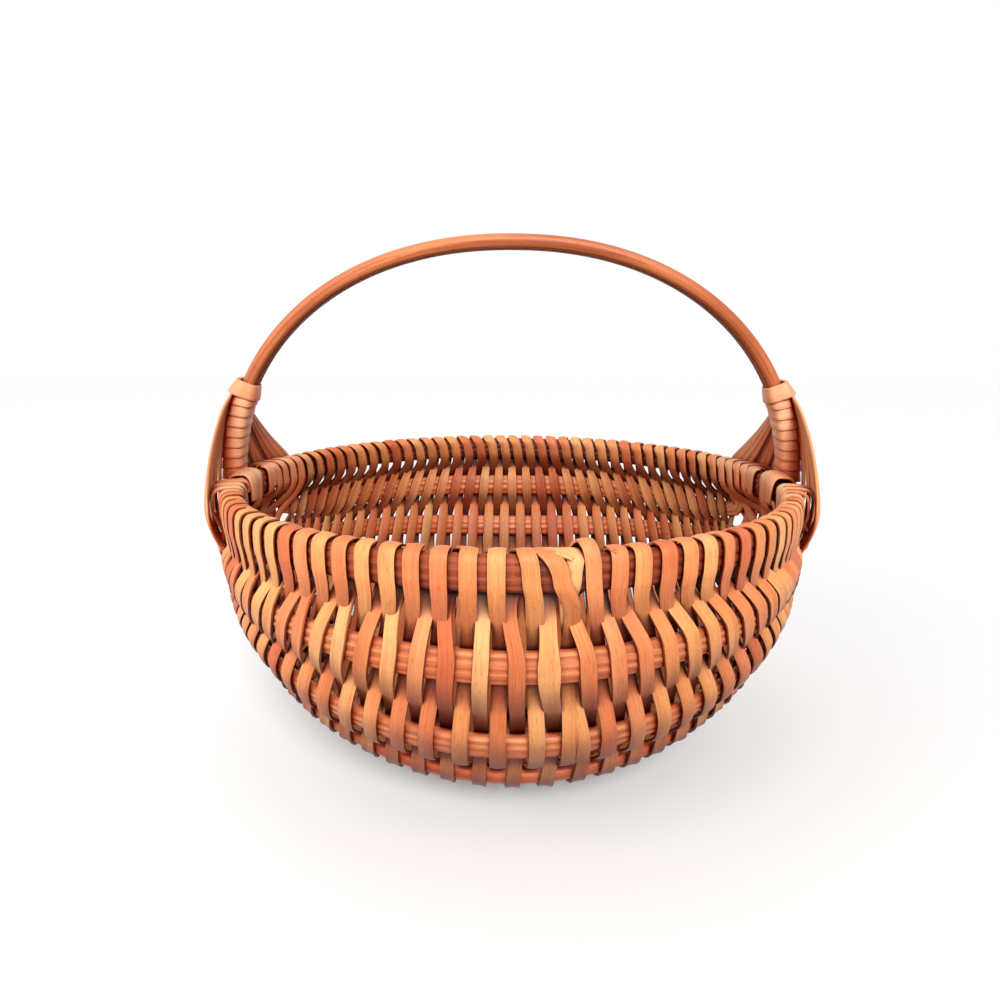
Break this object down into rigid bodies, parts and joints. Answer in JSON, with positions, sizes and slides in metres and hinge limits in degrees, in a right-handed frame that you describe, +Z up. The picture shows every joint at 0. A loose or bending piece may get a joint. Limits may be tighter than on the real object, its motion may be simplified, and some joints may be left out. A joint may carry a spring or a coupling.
{
  "type": "basket",
  "caption": "Round ribbed basket woven from flat splints over a deep bowl of wooden ribs, with a lashed rim and a fixed bentwood hoop handle.",
  "frame": {"origin": "middle of the underside, on the plane that the basket stands on", "axes": "+Z up, X from one handle post to the other, front towards -Y"},
  "size_m": [0.267, 0.2642, 0.2255],
  "materials": {
    "rim": "satin bent wood, reddish brown, lengthwise grain",
    "cane": "satin cane with fine lengthwise grooves",
    "rib": "satin split cane, lengthwise grooves",
    "splint": "flat reed, pale tan to orange, satin",
    "dark_splint": "flat reed, stained reddish tan, satin",
    "winding": "flat reed wound tight, satin"
  },
  "bodies": {
    "root": {"rim_hoop": "rim", "handle_hoop": "cane", "rib_front_1": "rib", "rib_front_2": "rib", "rib_front_3": "rib", "rib_front_4": "rib", "rib_back_1": "rib", "rib_back_2": "rib", "rib_back_3": "rib", "rib_back_4": "rib", "splint_01": "splint", "splint_02": "dark_splint", "splint_03": "splint", "splint_04": "splint", "splint_05": "dark_splint", "splint_06": "splint", "splint_07": "splint", "splint_08": "dark_splint", "splint_09": "splint", "splint_10": "splint", "splint_11": "dark_splint", "splint_12": "splint", "splint_13": "splint", "splint_14": "dark_splint", "splint_15": "splint", "splint_16": "splint", "splint_17": "dark_splint", "splint_18": "splint", "post_wrap_left": "winding", "collar_left": "winding", "lashing_left_front": "winding", "lashing_left_back": "winding", "post_wrap_right": "winding", "collar_right": "winding", "lashing_right_front": "winding", "lashing_right_back": "winding"}
  },
  "joints": []
}
